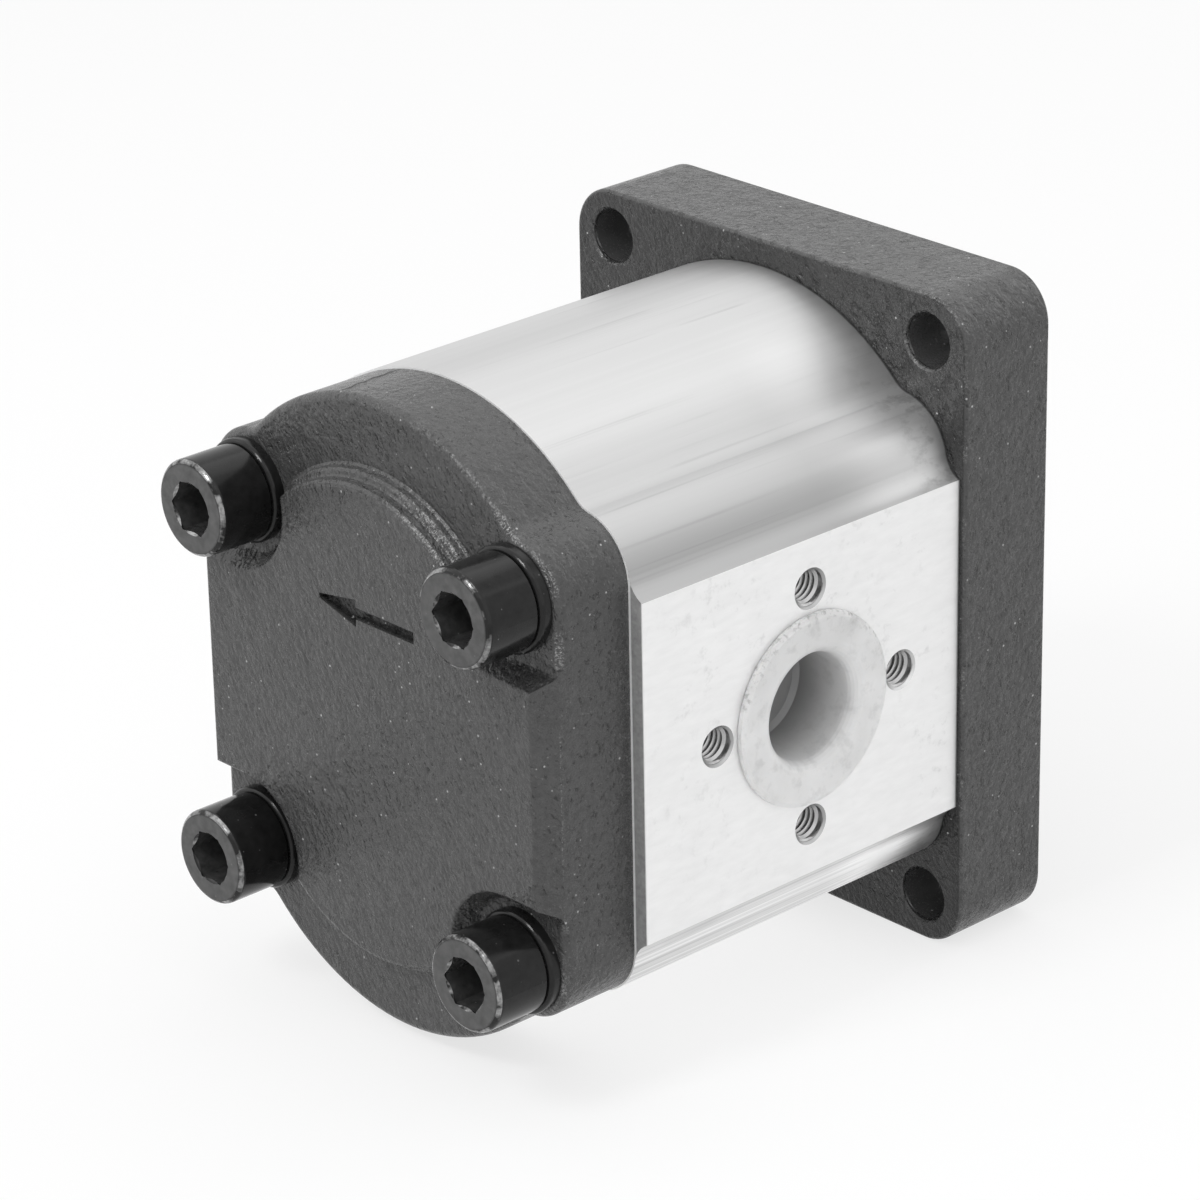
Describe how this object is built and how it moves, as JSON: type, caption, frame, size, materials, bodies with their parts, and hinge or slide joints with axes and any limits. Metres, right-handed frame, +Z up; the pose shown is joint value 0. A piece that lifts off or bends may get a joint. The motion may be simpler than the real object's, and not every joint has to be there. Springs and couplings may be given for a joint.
{
  "type": "hydraulic gear pump",
  "caption": "External gear pump: cast flange and rear cover on an extruded body with plugged side ports, and a keyed tapered drive shaft.",
  "frame": {"origin": "centre of the drive shaft in the plane of the mounting face", "axes": "+Y along the drive shaft out of the mounting face, +Z up from the driven shaft to the drive shaft, +X towards the right-hand port"},
  "size_m": [0.0888, 0.1528, 0.1118],
  "materials": {
    "cast_iron": "dark satin, fine cast grain",
    "body_alloy": "extruded, lengthwise lines",
    "black_steel": "black oxide, worn edges",
    "ground_steel": "ground",
    "block_alloy": "machined",
    "bush_bronze": "bronze with a dull sliding layer",
    "zinc_steel": "zinc plated",
    "seal_rubber": "matte",
    "lip_rubber": "matte",
    "backup_plastic": "waxy",
    "plug_plastic": "milky, slightly see-through"
  },
  "bodies": {
    "casing": {"front_flange": "cast_iron", "pump_body": "body_alloy", "rear_cover": "cast_iron", "body_screws": "black_steel", "screw_washers": "black_steel", "front_bearing_block": "block_alloy", "rear_bearing_block": "block_alloy", "front_bushes": "bush_bronze", "rear_bushes": "bush_bronze", "front_pressure_seal": "seal_rubber", "rear_pressure_seal": "seal_rubber", "front_backup_ring": "backup_plastic", "rear_backup_ring": "backup_plastic", "front_body_seal": "seal_rubber", "rear_body_seal": "seal_rubber", "shaft_seal_case": "zinc_steel", "shaft_seal_lip": "lip_rubber", "seal_garter_spring": "zinc_steel", "seal_retaining_ring": "zinc_steel", "front_dowels": "ground_steel", "rear_dowels": "ground_steel"},
    "drive_shaft": {"drive_gear_shaft": "ground_steel", "shaft_key": "ground_steel", "lock_washer": "zinc_steel", "shaft_nut": "zinc_steel"},
    "driven_shaft": {"driven_gear_shaft": "ground_steel"},
    "right_plug": {"right_port_plug": "plug_plastic"},
    "left_plug": {"left_port_plug": "plug_plastic"}
  },
  "joints": [
    {"name": "drive_spin", "type": "hinge", "parent": "casing", "child": "drive_shaft", "pos_m": [0, 0, 0], "axis": [0, 1, 0], "continuous": true},
    {"name": "driven_spin", "type": "hinge", "parent": "casing", "child": "driven_shaft", "pos_m": [0, 0, -0.034], "axis": [0, 1, 0], "continuous": true},
    {"name": "right_plug_pull", "type": "slide", "parent": "casing", "child": "right_plug", "axis": [1, 0, 0], "range_m": [0, 0.02]},
    {"name": "left_plug_pull", "type": "slide", "parent": "casing", "child": "left_plug", "axis": [-1, 0, 0], "range_m": [0, 0.02]}
  ],
  "couplings": [
    {"joint": "driven_spin", "follows": "drive_spin", "ratio": -1}
  ]
}
